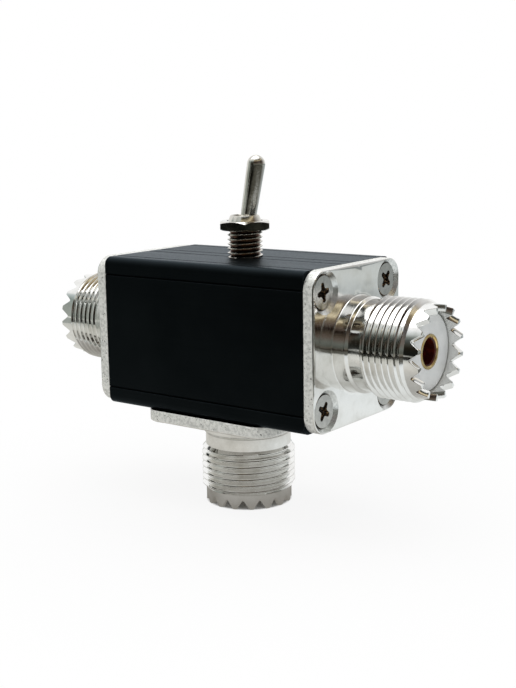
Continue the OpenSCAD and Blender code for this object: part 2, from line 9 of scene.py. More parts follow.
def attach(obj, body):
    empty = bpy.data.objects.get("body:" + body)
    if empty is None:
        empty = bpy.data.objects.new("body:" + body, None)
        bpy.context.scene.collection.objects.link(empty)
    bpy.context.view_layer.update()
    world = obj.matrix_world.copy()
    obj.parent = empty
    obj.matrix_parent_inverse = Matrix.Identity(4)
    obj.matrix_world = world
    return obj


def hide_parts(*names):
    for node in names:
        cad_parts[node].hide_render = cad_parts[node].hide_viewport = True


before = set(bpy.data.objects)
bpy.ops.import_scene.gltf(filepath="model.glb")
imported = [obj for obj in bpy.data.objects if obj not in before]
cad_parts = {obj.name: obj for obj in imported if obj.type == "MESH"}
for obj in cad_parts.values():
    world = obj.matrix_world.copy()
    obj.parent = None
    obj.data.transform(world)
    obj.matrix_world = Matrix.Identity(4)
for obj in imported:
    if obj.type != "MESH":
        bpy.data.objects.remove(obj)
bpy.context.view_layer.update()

# STUDIO. A small product table: a pale floor, a white surround, one overhead soft box and two fill boxes, with a
# glowing card round the camera's side, seen only in mirrors, that paints reflections of dark card and warm wood into
# the bright metal.
# The camera stands where the photograph was taken from, fitted to the edges of the housing.


def linear(colour):
    """An sRGB hex colour such as '#c0ffee' as linear red, green, blue and an alpha of 1."""
    parts = [int(colour[i:i + 2], 16) / 255 for i in (1, 3, 5)]
    return [c / 12.92 if c <= 0.04045 else ((c + 0.055) / 1.055) ** 2.4 for c in parts] + [1]


def feed(node, values):
    """Fills a node's inputs, each with a value or with a link to another node's socket."""
    for name, value in values.items():
        if isinstance(value, bpy.types.NodeSocket):
            node.id_data.links.new(value, node.inputs[name])
        else:
            node.inputs[name].default_value = value


def add(tree, kind, values=None, stops=(), **settings):
    """Adds a node to a tree, sets its settings and feeds its inputs. A colour ramp's stops are pairs of
    a position and an sRGB hex colour."""
    node = tree.nodes.new(kind)
    for name, setting in settings.items():
        setattr(node, name, setting)
    for where, colour in stops[2:]:
        node.color_ramp.elements.new(0.5)
    for i, (where, colour) in enumerate(stops):
        node.color_ramp.elements[i].position, node.color_ramp.elements[i].color = where, linear(colour)
    feed(node, values or {})
    return node


scene = bpy.context.scene
scene.view_settings.view_transform = "Standard"

camera_turn, camera_rise, camera_roll = math.radians(36.77), math.radians(10.62), math.radians(-0.86)
camera_target = Vector((0.00234, 0, 0.02687))
camera_distance = 0.19462
back = Vector((math.sin(camera_turn) * math.cos(camera_rise),
               -math.cos(camera_turn) * math.cos(camera_rise), math.sin(camera_rise)))
level = Vector((0, 0, 1)).cross(back).normalized()
upright = back.cross(level)
right = math.cos(camera_roll) * level + math.sin(camera_roll) * upright
up = math.cos(camera_roll) * upright - math.sin(camera_roll) * level
lens_data = bpy.data.cameras.new("camera")
lens_data.sensor_width = 36
lens_data.lens = 61.22
lens_data.clip_start = 0.01
lens_data.clip_end = 20
camera = bpy.data.objects.new("camera", lens_data)
camera.matrix_world = (Matrix.Translation(camera_target + back * camera_distance)
                       @ Matrix((right, up, back)).transposed().to_4x4())
scene.collection.objects.link(camera)
scene.camera = camera

world = bpy.data.worlds.new("white surround")
scene.world = world
world.use_nodes = True
tree = world.node_tree
tree.nodes.clear()
path = add(tree, "ShaderNodeLightPath")
seen = add(tree, "ShaderNodeMath", {0: path.outputs["Is Camera Ray"], 1: path.outputs["Is Glossy Ray"]},
           operation="MAXIMUM")
seen = add(tree, "ShaderNodeMath", {0: seen.outputs[0], 1: path.outputs["Is Transmission Ray"]},
           operation="MAXIMUM")
strength = add(tree, "ShaderNodeMapRange", {"Value": seen.outputs[0], "To Min": 0.55, "To Max": 1.0})
sky = add(tree, "ShaderNodeBackground", {"Color": (1, 1, 1, 1), "Strength": strength.outputs["Result"]})
add(tree, "ShaderNodeOutputWorld", {"Surface": sky.outputs[0]})


def soft_box(name, place, aim, size, power, colour):
    """A square area lamp at place, turned to face aim."""
    data = bpy.data.lights.new(name, "AREA")
    data.shape = "RECTANGLE"
    data.size, data.size_y = size
    data.energy = power
    data.color = linear(colour)[:3]
    lamp = bpy.data.objects.new(name, data)
    lamp.location = place
    lamp.rotation_euler = (Vector(aim) - Vector(place)).to_track_quat("-Z", "Y").to_euler()
    scene.collection.objects.link(lamp)


soft_box("overhead soft box", (-0.06, 0.02, 0.36), (0, 0, 0.02), (0.34, 0.30), 0.62, "#ffffff")
soft_box("right fill box", (0.34, -0.10, 0.20), (0, 0, 0.03), (0.20, 0.20), 0.16, "#fbfdff")
soft_box("left fill box", (-0.30, -0.26, 0.18), (0, 0, 0.03), (0.16, 0.16), 0.10, "#fffaf2")

# Floor: matt white paper, which runs into the white surround from 8 cm on, with a soft shadow round the bottom socket
# and its true dark within the crown. Metal mirrors it mostly as a glowing painted reflection: painted shade,
# grey-beige, near the object, painted light brightest at the back right, and duller far off.
bpy.ops.mesh.primitive_circle_add(vertices=96, radius=4, fill_type="NGON")
floor = bpy.context.object
floor.name = "paper_floor"
paper = bpy.data.materials.new("matt white paper")
paper.use_nodes = True
tree = paper.node_tree
tree.nodes.clear()
spot = add(tree, "ShaderNodeTexCoord").outputs["Object"]
away = add(tree, "ShaderNodeVectorMath", {0: spot}, operation="LENGTH").outputs["Value"]
fade = add(tree, "ShaderNodeMapRange", {"Value": away, "From Min": 0.02, "From Max": 0.075},
           interpolation_type="SMOOTHSTEP")
path = add(tree, "ShaderNodeLightPath")
sheet = add(tree, "ShaderNodeBsdfDiffuse", {"Color": linear("#f4f4f4")})
glow = add(tree, "ShaderNodeEmission", {"Color": linear("#ffffff")})
shadow = add(tree, "ShaderNodeMapRange", {"Value": fade.outputs["Result"], "To Min": 0.88, "To Max": 1.0})
outside = add(tree, "ShaderNodeMapRange", {"Value": away, "From Min": 0.0068, "From Max": 0.0074})
share = add(tree, "ShaderNodeMath", {0: path.outputs["Is Camera Ray"], 1: shadow.outputs["Result"]},
            operation="MULTIPLY")
share = add(tree, "ShaderNodeMath", {0: share.outputs[0], 1: outside.outputs["Result"]}, operation="MULTIPLY")
seen = add(tree, "ShaderNodeMixShader", {0: share.outputs[0], 1: sheet.outputs[0], 2: glow.outputs[0]})
far = add(tree, "ShaderNodeMath", {0: away, 1: 3.0}, operation="MULTIPLY").outputs[0]  # 1 is 33 cm out
# Painted reflections of the floor, in front of the object and behind it: painted shade close in, painted light
# further out.
front_floor_painted_reflection = add(tree, "ShaderNodeValToRGB", {"Fac": far}, stops=[
    (0.03, "#8f8b84"), (0.09, "#aeaca4"), (0.14, "#cfccc3"), (0.21, "#d9d9d2"), (0.29, "#c4c4bb"), (0.6, "#b9beb8")])
back_floor_painted_reflection = add(tree, "ShaderNodeValToRGB", {"Fac": far}, stops=[
    (0.03, "#8f8b84"), (0.12, "#dfe2e0"), (0.27, "#f0f5f5"), (0.45, "#cbd3d6"), (0.66, "#acb7bb")])
place = add(tree, "ShaderNodeVectorMath", {0: spot, 1: (0.801, 0.599, 0.0)}, operation="DOT_PRODUCT")
behind = add(tree, "ShaderNodeMapRange", {"Value": place.outputs["Value"], "From Min": -0.01, "From Max": 0.04})
room = add(tree, "ShaderNodeMix", {0: behind.outputs["Result"], 6: front_floor_painted_reflection.outputs["Color"],
                                   7: back_floor_painted_reflection.outputs["Color"]}, data_type="RGBA")
mirrored = add(tree, "ShaderNodeEmission", {"Color": room.outputs[2]})
# Glossy rays see three parts of this painted glow to one part of the lit paper.
share = add(tree, "ShaderNodeMath", {0: path.outputs["Is Glossy Ray"], 1: 0.75}, operation="MULTIPLY")
both = add(tree, "ShaderNodeMixShader", {0: share.outputs[0], 1: seen.outputs[0], 2: mirrored.outputs[0]})
add(tree, "ShaderNodeOutputMaterial", {"Surface": both.outputs[0]})
floor.data.materials.append(paper)

# Card: glowing sheets that lie on the table from the edge of the white paper, 12 cm out on the camera's side, and
# stand up 30 cm out. They are seen only in mirrors, and their colours are painted reflections: dark bands, warm brown
# bands and painted highlights, set for what each part of the metal mirrors; the camera and the soft light pass
# through. A point is given by its side, in degrees round from the camera, and its reach, in metres along the card.
PAPER_EDGE, WALL_R, WALL_H, CARD_T, CAMERA_SIDE = 0.117, 0.30, 0.53, 0.0008, -53.2
CARD_REACH = WALL_R - PAPER_EDGE + WALL_H
CARD_COLUMNS, CARD_ROWS = 156, 90
turn, reach = np.meshgrid(np.radians(np.linspace(-223, 87, CARD_COLUMNS)), np.linspace(0, CARD_REACH, CARD_ROWS),
                          indexing="ij")
out = np.minimum(PAPER_EDGE + reach, WALL_R)
points = np.stack([out * np.cos(turn), out * np.sin(turn), CARD_T + PAPER_EDGE + reach - out], -1)
i, j = np.meshgrid(np.arange(CARD_COLUMNS - 1), np.arange(CARD_ROWS - 1), indexing="ij")
corner = i * CARD_ROWS + j
quads = np.stack([corner, corner + CARD_ROWS, corner + CARD_ROWS + 1, corner + 1], -1).reshape(-1, 4)
card_mesh = bpy.data.meshes.new("painted_reflection_card")
card_mesh.from_pydata(points.reshape(-1, 3).tolist(), [], quads.tolist())
card = bpy.data.objects.new("painted_reflection_card", card_mesh)
scene.collection.objects.link(card)
for name, values in (("side", np.degrees(turn) - CAMERA_SIDE), ("reach", reach)):
    card_mesh.attributes.new(name, "FLOAT", "POINT").data.foreach_set("value", values.ravel())
card.visible_camera = card.visible_diffuse = card.visible_shadow = False
reflection_card_finish = bpy.data.materials.new("glowing card of painted reflections")
reflection_card_finish.use_nodes = True
tree = reflection_card_finish.node_tree
tree.nodes.clear()
side = add(tree, "ShaderNodeAttribute", attribute_name="side").outputs["Fac"]
reach = add(tree, "ShaderNodeAttribute", attribute_name="reach").outputs["Fac"]
rise = {}
for name, amount, low, high in (
        ("up the card", reach, 0.0, CARD_REACH), ("round the card", side, -110.0, 150.0),
        ("left to middle", side, -80.0, -73.0), ("middle to right", side, -40.0, -30.0),
        ("toggle bands start", reach, 0.076, 0.088), ("low to high band", reach, 0.150, 0.184),
        ("toggle bands stop", reach, 0.200, 0.188), ("toggle bands' left end", side, -110.0, -100.0),
        ("right end", side, 82.0, 138.0)):
    node = add(tree, "ShaderNodeMapRange", {"Value": amount, "From Min": low, "From Max": high})
    rise[name] = node.outputs["Result"]

# Painted reflections: bands up the card, which the sockets mirror, and then two level bands, which the toggle
# mirrors; they hold painted highlights and painted dark.
left_bands = add(tree, "ShaderNodeValToRGB", {"Fac": rise["up the card"]}, stops=[
    (0.0, "#a4a9a4"), (0.30, "#a6aca6"), (0.42, "#9aa19c"), (0.52, "#8a9692"), (0.58, "#c2cccc"), (0.64, "#ffffff")])
middle_bands = add(tree, "ShaderNodeValToRGB", {"Fac": rise["up the card"]}, stops=[
    (0.0, "#2c2e2c"), (0.20, "#171816"), (0.33, "#191a16"), (0.40, "#1f1b14"), (0.46, "#36362f"), (0.53, "#454a47"),
    (0.60, "#787e79"), (0.68, "#c9cecc"), (0.78, "#e4e8e8"), (1.0, "#f4f8f8")])
right_bands = add(tree, "ShaderNodeValToRGB", {"Fac": rise["up the card"]}, stops=[
    (0.0, "#5c5b54"), (0.26, "#4c4e47"), (0.33, "#6a6e68"), (0.40, "#62574f"), (0.46, "#4a4036"),
    (0.53, "#150b06"), (0.60, "#5e5148"), (0.68, "#74654f"), (0.725, "#8a7a60"), (0.745, "#fff0cc"),
    (0.79, "#dccdb0"), (0.82, "#8e8468"), (0.88, "#3a3d37"), (0.94, "#22282a"), (1.0, "#3c4446")])
low_band = add(tree, "ShaderNodeValToRGB", {"Fac": rise["round the card"]}, stops=[
    (0.0, "#b4b8b6"), (0.146, "#a2a8a4"), (0.18, "#15140f"), (0.345, "#0c0b09"), (0.40, "#2c251e"),
    (0.50, "#2a211a"), (0.56, "#0a0c09"), (0.715, "#121612"), (0.75, "#999e9a"), (0.85, "#b9bdbb")])
high_band = add(tree, "ShaderNodeValToRGB", {"Fac": rise["round the card"]}, stops=[
    (0.0, "#f2f5f0"), (0.17, "#eef0ea"), (0.21, "#5a584e"), (0.235, "#14110a"), (0.37, "#0f0c07"),
    (0.40, "#66625a"), (0.48, "#6b665b"), (0.56, "#8a867b"), (0.65, "#aaa89f"), (0.75, "#cfd0ca"), (0.85, "#e6e8e3")])

# In a colour Mix node, input 0 is the factor, 6 and 7 are the colours, and output 2 is the result.
bands = add(tree, "ShaderNodeMix", {0: rise["left to middle"], 6: left_bands.outputs["Color"],
                                    7: middle_bands.outputs["Color"]}, data_type="RGBA")
bands = add(tree, "ShaderNodeMix", {0: rise["middle to right"], 6: bands.outputs[2],
                                    7: right_bands.outputs["Color"]}, data_type="RGBA")
toggle_bands = add(tree, "ShaderNodeMix", {0: rise["low to high band"], 6: low_band.outputs["Color"],
                                           7: high_band.outputs["Color"]}, data_type="RGBA")
share = add(tree, "ShaderNodeMath", {0: rise["toggle bands start"], 1: rise["toggle bands stop"]},
            operation="MULTIPLY")
share = add(tree, "ShaderNodeMath", {0: share.outputs[0], 1: rise["toggle bands' left end"]},
            operation="MULTIPLY")
painted_reflection_tone = add(tree, "ShaderNodeMix", {0: share.outputs[0], 6: bands.outputs[2], 7: toggle_bands.outputs[2]},
                data_type="RGBA")

# The card ends softly at both sides, and its left edge leans back half way up.
left_edge = add(tree, "ShaderNodeMapRange", {"Value": reach, "From Min": 0.42, "From Max": 0.46,
                                             "To Min": -108.0, "To Max": -84.0})
past_edge = add(tree, "ShaderNodeMath", {0: side, 1: left_edge.outputs["Result"]}, operation="SUBTRACT")
left_end = add(tree, "ShaderNodeMapRange", {"Value": past_edge.outputs[0], "From Min": 4.0, "From Max": -12.0})
gap = add(tree, "ShaderNodeMath", {0: left_end.outputs["Result"], 1: rise["right end"]}, operation="ADD")
# The card glows with its painted colours, though it is no lamp; only mirrors see it.
painted_reflection_glow = add(tree, "ShaderNodeEmission", {"Color": painted_reflection_tone.outputs[2]})
clear = add(tree, "ShaderNodeBsdfTransparent")
opened = add(tree, "ShaderNodeMixShader", {0: gap.outputs[0], 1: painted_reflection_glow.outputs[0], 2: clear.outputs[0]})
add(tree, "ShaderNodeOutputMaterial", {"Surface": opened.outputs[0]})
card_mesh.materials.append(reflection_card_finish)


# HOUSING. A 40 mm length of square aluminium extrusion, etched, dyed black and anodised, with fine
# die lines along it and a narrow groove near each edge. The flanges cover its sawn ends.
def finish_of(name):
    """A new material with a bare Principled shader: the material, its tree, the shader and Object coordinates."""
    finish = bpy.data.materials.new(name)
    finish.use_nodes = True
    tree = finish.node_tree
    tree.nodes.clear()
    shader = add(tree, "ShaderNodeBsdfPrincipled")
    add(tree, "ShaderNodeOutputMaterial", {"Surface": shader.outputs[0]})
    return finish, tree, shader, add(tree, "ShaderNodeTexCoord").outputs["Object"]


def dress(node, finish):
    """Gives a CAD node's object its finish."""
    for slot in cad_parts[node].material_slots:
        slot.material = finish


# Black anodised aluminium, extruded and etched: metal dyed near black, with a satin sheen that goes
# grey-blue where it mirrors the surround at a low angle. Die lines are 0.35 mm apart, etch grain 0.25 mm.
black, tree, shader, spot = finish_of("black anodised aluminium")
lines = add(tree, "ShaderNodeMapping", {"Vector": spot, "Scale": (22, 2850, 2850)})
lines = add(tree, "ShaderNodeTexNoise", {"Vector": lines.outputs[0], "Scale": 1.0, "Detail": 3.0})
grain = add(tree, "ShaderNodeTexNoise", {"Vector": spot, "Scale": 4000.0, "Detail": 2.0})
cloud = add(tree, "ShaderNodeTexNoise", {"Vector": spot, "Scale": 120.0, "Detail": 3.0})
mixed = add(tree, "ShaderNodeMath", {0: lines.outputs["Fac"], 1: grain.outputs["Fac"]}, operation="ADD")
rough = add(tree, "ShaderNodeMapRange", {"Value": mixed.outputs[0], "From Min": 0.7, "From Max": 1.3,
                                         "To Min": 0.34, "To Max": 0.48})
relief = add(tree, "ShaderNodeBump", {"Height": mixed.outputs[0], "Strength": 0.25, "Distance": 0.00002})
tone = add(tree, "ShaderNodeValToRGB", {"Fac": cloud.outputs["Fac"]}, stops=[(0.3, "#0f1315"), (0.7, "#15191b")])
feed(shader, {
    "Base Color": tone.outputs["Color"],
    "Metallic": 1.0, "Specular Tint": linear("#e4ecf2"), "Roughness": rough.outputs["Result"],
    "Normal": relief.outputs[0]})
dress("housing", black)

# SOCKET SHELLS. Three equal pieces of nickel-plated brass, each a square flange and a barrel in one,
# turned bright all over but for the flange's edge, which keeps its grainy cast skin. The barrel has a
# 5/8 inch thread, 24 turns to the inch, and ends in a crown of sixteen milled locking teeth.
FLANGE_T, FLANGE_HALF, FLANGE_CORNER = 1.9, 12.5, 3.0
LIP_R, REAR_EDGE, FILLET_R, NECK_RUN = 0.22, 0.1, 0.2, 0.8
SCREW_AT, COUNTERSINK_R, COUNTERSINK_DEPTH, SCREW_HOLE_R = 9.1, 3.25, 1.75, 1.5
SINK_BREAK_R, SINK_BREAK_DEPTH = 0.08, 0.07
BOSS_R, BOSS_END, NECK_R = 7.6, 4.0, 7.2
THREAD_R, ROOT_R, THREAD_PITCH, THREAD_START, THREAD_END = 7.9, 7.26, 1.0583, 6.5, 14.0
CROWN_R, BORE_R, TOOTH_ROOT, TOOTH_TIP = 7.25, 6.2, 14.9, 16.4
TEETH, PER_TOOTH, TOOTH_FLAT = 16, 16, 0.65
SPIGOT_R, SPIGOT_BORE_R, SPIGOT_END = 5.8, 4.6, -2.6
PLUG_FACE, SOCKET_AXIS_Z, HOUSING_HALF_LEN, UNDERSIDE_Z = 14.4, 28.9, 20, 16.4
MERGE_WITHIN = 5e-7  # metres
COLUMNS = TEETH * PER_TOOTH


def skin(name, sheets, finishes, turn=np.eye(3), seat=(0, 0, 0), crease=30):
    """One closed piece from sheets, which are joined where their edges meet.

    Each sheet is a grid of points (rows x columns x 3), in millimetres in the piece's own frame, and
    the number of its finish. A point p goes to turn * p + seat. Its height in the piece's own frame is
    kept as the attribute "station". Edges bent by more than crease degrees stay sharp."""
    points, quads, picks, first = [], [], [], 0
    for grid, pick in sheets:
        rows, columns = grid.shape[:2]
        i, j = np.meshgrid(np.arange(rows - 1), np.arange(columns - 1), indexing="ij")
        corner = first + i * columns + j
        quads.append(np.stack([corner, corner + columns, corner + columns + 1, corner + 1], -1).reshape(-1, 4))
        picks.append(np.full(len(quads[-1]), pick, np.int32))
        points.append(grid.reshape(-1, 3))
        first += rows * columns
    own = np.concatenate(points)
    mesh = bpy.data.meshes.new(name)
    mesh.from_pydata(((own @ np.array(turn, float).T + seat) / 1000).tolist(), [], np.concatenate(quads).tolist())
    mesh.polygons.foreach_set("material_index", np.concatenate(picks))
    station = mesh.attributes.new("station", "FLOAT", "POINT")
    station.data.foreach_set("value", own[:, 2].astype(np.float32) / 1000)
    for finish in finishes:
        mesh.materials.append(finish)
    work = bmesh.new()
    work.from_mesh(mesh)
    bmesh.ops.remove_doubles(work, verts=work.verts, dist=MERGE_WITHIN)
    bmesh.ops.recalc_face_normals(work, faces=work.faces)
    work.to_mesh(mesh)
    work.free()
    mesh.shade_smooth()
    mesh.set_sharp_from_angle(angle=math.radians(crease))
    piece = bpy.data.objects.new(name, mesh)
    scene.collection.objects.link(piece)
    return piece


def ring(angle, radius, height):
    """Points round the Z axis: x = radius * cos(angle), y = radius * sin(angle), z = height."""
    return np.stack(np.broadcast_arrays(radius * np.cos(angle), radius * np.sin(angle), height), -1)


def turned(profile, columns=COLUMNS):
    """A profile of radius and height carried round the Z axis."""
    radius, height = np.array(profile, float).T
    return ring(np.linspace(0, 2 * np.pi, columns + 1)[None, :], radius[:, None], height[:, None])


def helix(major, minor, pitch, start, end, low_r, high_r, columns=COLUMNS):
    """A screw thread as a surface over angle and turn: crest, flank, root and flank, in rows whose height
    is start + pitch * (turn + angle / full circle). It is cut off at start and end, where 45 degree bevels
    take it to low_r and high_r."""
    share = np.array([0.0, 0.03, 0.11, 0.14, 0.23, 0.32, 0.41, 0.50, 0.53, 0.57, 0.61, 0.64, 0.73, 0.82, 0.91])
    depth = np.array([0.05, 0.0, 0.0, 0.05, 0.28, 0.51, 0.74, 0.96, 1.0, 1.0, 1.0, 0.96, 0.74, 0.51, 0.28])
    turns = int(np.ceil((end - start) / pitch)) + 2
    step = (np.arange(turns)[:, None] + share[None, :] - 1).ravel()
    radius = np.tile(major - (major - minor) * depth, turns)[:, None]
    angle = np.linspace(0, 2 * np.pi, columns + 1)[None, :]
    height = np.clip(start + pitch * (step[:, None] + angle / (2 * np.pi)), start, end)
    radius = np.minimum(radius, np.minimum(low_r + (height - start), high_r + (end - height)))
    return ring(angle, radius, height)


def crown(radius, drop, crown_turn):
    """One closed line round the crown: its angle and height, with a V between each two teeth.

    A V has straight flanks and a slightly round root, and its walls run out level from the axis, so
    the angle of each point is the arcsine of its distance from the V's middle over the radius."""
    pitch = 2 * np.pi / TEETH
    half_gap = (2 * np.pi * CROWN_R / TEETH - TOOTH_FLAT) / 2
    shift = round((crown_turn + pitch / 2) * COLUMNS / (2 * np.pi))
    column = np.arange(COLUMNS + 1) - shift
    share = (column % PER_TOOTH) / PER_TOOTH
    near = np.minimum(share, 1 - share)
    flank = 6 / PER_TOOTH
    up = np.minimum(near / flank, 1)
    edge = np.arcsin(half_gap / radius)
    offset = np.where(near <= flank, np.arcsin(half_gap * up / radius),
                      edge + (pitch / 2 - edge) * (near - flank) / (0.5 - flank))
    offset = np.where(share > 0.5, pitch - offset, offset)
    climb = (np.sqrt(up ** 2 + 0.02) - 0.1414) / (np.sqrt(1.02) - 0.1414)
    angle = crown_turn + (column // PER_TOOTH + 0.5) * pitch + offset
    return angle, TOOTH_ROOT + (TOOTH_TIP - TOOTH_ROOT) * climb - drop


def outline(inset):
    """A quarter of the flange's outline, from the X axis round its corner to the Y axis, moved in by inset."""
    side, corner = FLANGE_HALF - inset, FLANGE_HALF - FLANGE_CORNER
    run = np.linspace(0, corner, 9)
    bend = np.radians(np.linspace(0, 90, 11))[1:-1]
    arc = corner + (FLANGE_CORNER - inset) * np.stack([np.cos(bend), np.sin(bend)], -1)
    return np.concatenate([np.stack([np.full(9, side), run], -1), arc, np.stack([run[::-1], np.full(9, side)], -1)])


def quarter_turns(grid):
    """A grid and its three copies, each a quarter of a turn on round the Z axis."""
    return [grid @ np.array([[c, s, 0], [-s, c, 0], [0, 0, 1]]) for c, s in ((1, 0), (0, 1), (-1, 0), (0, -1))]


def plate_face(inner_r, hole_r, inset, height):
    """A quarter of a flange's face: straight spokes from its border to the edge of its screw hole, with a
    row of points at each fifth of their length. It gives the grid, and the spokes' angles."""
    rim = outline(inset)
    out = np.linspace(inner_r, FLANGE_HALF - inset, 7)[:-1]
    arc = np.linspace(np.pi / 2, 0, COLUMNS // 4 + 1)
    border = np.concatenate([
        np.stack([out, 0 * out], -1), rim, np.stack([0 * out, out], -1)[::-1],
        inner_r * np.stack([np.cos(arc), np.sin(arc)], -1)[1:]])
    spoke = border - SCREW_AT
    hole = SCREW_AT + hole_r * spoke / np.linalg.norm(spoke, axis=1)[:, None]
    t = np.linspace(0, 1, 6)[:, None, None]
    flat = border * (1 - t) + hole * t
    return np.concatenate([flat, np.full(flat.shape[:2] + (1,), height)], -1), np.unwrap(np.arctan2(*spoke.T[::-1]))


def socket_sheets(crown_turn):
    """All the sheets of a shell that stands on the rear face of its flange. Finish 1 is the cast edge,
    and finish 2 is for the countersinks."""
    around = np.linspace(0, 2 * np.pi, COLUMNS + 1)
    front, front_angle = plate_face(BOSS_R + FILLET_R, COUNTERSINK_R + SINK_BREAK_R, LIP_R, FLANGE_T)
    rear, rear_angle = plate_face(SPIGOT_R, SCREW_HOLE_R, REAR_EDGE, 0.0)
    t = np.array([0.0, 0.06, 1.0, 1.0])[:, None]
    sink_r = np.array([COUNTERSINK_R + SINK_BREAK_R, COUNTERSINK_R, SCREW_HOLE_R, SCREW_HOLE_R])[:, None]
    sink_z = np.array([FLANGE_T, FLANGE_T - SINK_BREAK_DEPTH, FLANGE_T - COUNTERSINK_DEPTH, 0.0])[:, None]
    sink = ring(front_angle * (1 - t) + rear_angle * t, sink_r, sink_z) + (SCREW_AT, SCREW_AT, 0)
    sheets = [(grid, pick) for part, pick in ((front, 0), (rear, 0), (sink, 2)) for grid in quarter_turns(part)]
    lip = [(LIP_R, FLANGE_T), (0.09, FLANGE_T - 0.04), (0.02, FLANGE_T - 0.12), (0.0, FLANGE_T - 0.24)]
    edge = [(0.0, FLANGE_T - 0.24), (0.0, 0.95), (0.0, 0.12), (REAR_EDGE, 0.0)]
    for profile, pick in ((lip, 0), (edge, 1)):
        band = np.stack([np.concatenate([outline(inset), np.full((27, 1), z)], -1) for inset, z in profile])
        sheets += [(grid, pick) for grid in quarter_turns(band)]
    bend = np.radians(np.linspace(-90, -180, 7))
    foot = [(BOSS_R + FILLET_R * (1 + math.cos(a)), FLANGE_T + FILLET_R * (1 + math.sin(a))) for a in bend]
    bend = np.radians(np.linspace(0, 45, 5))
    brow = [(BOSS_R - FILLET_R * (1 - math.cos(a)), BOSS_END + FILLET_R * math.sin(a)) for a in bend]
    neck_z = BOSS_END + BOSS_R - NECK_R
    bend = np.radians(np.linspace(-135, -180, 5))
    hollow = [(NECK_R + FILLET_R * (1 + math.cos(a)), neck_z + 0.17 + FILLET_R * math.sin(a)) for a in bend]
    sheets.append((turned(foot + brow + hollow + [(NECK_R, THREAD_START - NECK_RUN), (NECK_R, THREAD_START)]), 0))
    sheets.append((helix(THREAD_R, ROOT_R, THREAD_PITCH, THREAD_START, THREAD_END, NECK_R, CROWN_R), 0))
    wall_angle, wall_z = crown(CROWN_R, 0.07, crown_turn)
    t = np.linspace(0, 1, 5)[:, None]
    sheets.append((ring(around * (1 - t) + wall_angle * t, CROWN_R, THREAD_END * (1 - t) + wall_z * t), 0))
    rim = [(CROWN_R, 0.07), (CROWN_R - 0.03, 0.02), (CROWN_R - 0.09, 0.0), (BORE_R + 0.06, 0.0), (BORE_R, 0.05)]
    lines = [(radius,) + crown(radius, drop, crown_turn) for radius, drop in rim]
    sheets.append((np.stack([ring(angle, radius, z) for radius, angle, z in lines]), 0))
    bore_angle, bore_z = crown(BORE_R, 0.05, crown_turn)
    t = np.array([0.0, 0.5, 1.0])[:, None]
    sheets.append((ring(bore_angle * (1 - t) + around * t, BORE_R, bore_z * (1 - t) + PLUG_FACE * t), 0))
    sheets.append((turned([(BORE_R, PLUG_FACE), (BORE_R, FLANGE_T), (SPIGOT_BORE_R, FLANGE_T),
                           (SPIGOT_BORE_R, SPIGOT_END), (SPIGOT_R, SPIGOT_END), (SPIGOT_R, 0.0)]), 0))
    return sheets


# Bright nickel plate, turned: near white where it mirrors the surround, with faint stains 4 mm across and
# a slightly uneven surface that breaks up what it mirrors. The tool rings are really finer: they are drawn
# 0.25 mm apart, so that they show.
nickel, tree, shader, spot = finish_of("bright nickel plate, turned")
station = add(tree, "ShaderNodeAttribute", attribute_name="station")
rings = add(tree, "ShaderNodeTexNoise", {"W": station.outputs["Fac"], "Scale": 4000.0, "Detail": 2.0},
            noise_dimensions="1D")
stain = add(tree, "ShaderNodeTexNoise", {"Vector": spot, "Scale": 260.0, "Detail": 4.0, "Roughness": 0.6})
wave = add(tree, "ShaderNodeTexNoise", {"Vector": spot, "Scale": 420.0, "Detail": 1.0})
rough = add(tree, "ShaderNodeMapRange", {"Value": stain.outputs["Fac"], "From Min": 0.35, "From Max": 0.7,
                                         "To Min": 0.05, "To Max": 0.15})
ring_relief = add(tree, "ShaderNodeBump", {"Height": rings.outputs["Fac"], "Strength": 0.12, "Distance": 0.00002})
wave_relief = add(tree, "ShaderNodeBump", {"Height": wave.outputs["Fac"], "Strength": 0.10, "Distance": 0.0002,
                                           "Normal": ring_relief.outputs[0]})
tone = add(tree, "ShaderNodeValToRGB", {"Fac": stain.outputs["Fac"]}, stops=[
    (0.3, "#dddcd8"), (0.55, "#f0f0ee"), (0.8, "#f6f6f5")])
feed(shader, {
    "Base Color": tone.outputs["Color"],
    "Metallic": 1.0, "Roughness": rough.outputs["Result"], "Normal": wave_relief.outputs[0]})

# The same plate over a sand-cast edge, dull with oxide: matt pale grey, grainy at 0.3 mm, with lumps of 0.5 mm and
# dark specks of 0.4 mm.
cast, tree, shader, spot = finish_of("nickel plate over a cast edge")
grain = add(tree, "ShaderNodeTexNoise", {"Vector": spot, "Scale": 3000.0, "Detail": 3.0, "Roughness": 0.65})
lump = add(tree, "ShaderNodeTexNoise", {"Vector": spot, "Scale": 1900.0, "Detail": 3.0})
speck_noise = add(tree, "ShaderNodeTexNoise", {"Vector": spot, "Scale": 2600.0, "Detail": 2.0})
both = add(tree, "ShaderNodeMath", {0: grain.outputs["Fac"], 1: lump.outputs["Fac"]}, operation="ADD")
relief = add(tree, "ShaderNodeBump", {"Height": both.outputs[0], "Strength": 0.7, "Distance": 0.00012})
half = add(tree, "ShaderNodeMath", {0: both.outputs[0], 1: 0.5}, operation="MULTIPLY")
tone = add(tree, "ShaderNodeValToRGB", {"Fac": half.outputs[0]}, stops=[
    (0.42, "#cfd0cc"), (0.5, "#e6e7e2"), (0.58, "#f2f2ee")]).outputs["Color"]
dark_specks = add(tree, "ShaderNodeValToRGB", {"Fac": speck_noise.outputs["Fac"]}, stops=[
    (0.28, "#ffffff"), (0.33, "#000000")]).outputs["Color"]
tone = add(tree, "ShaderNodeMix", {0: dark_specks, 6: tone, 7: linear("#55534e")}, data_type="RGBA")
feed(shader, {"Base Color": tone.outputs[2], "Metallic": 0.4, "Roughness": 0.42, "Normal": relief.outputs[0]})

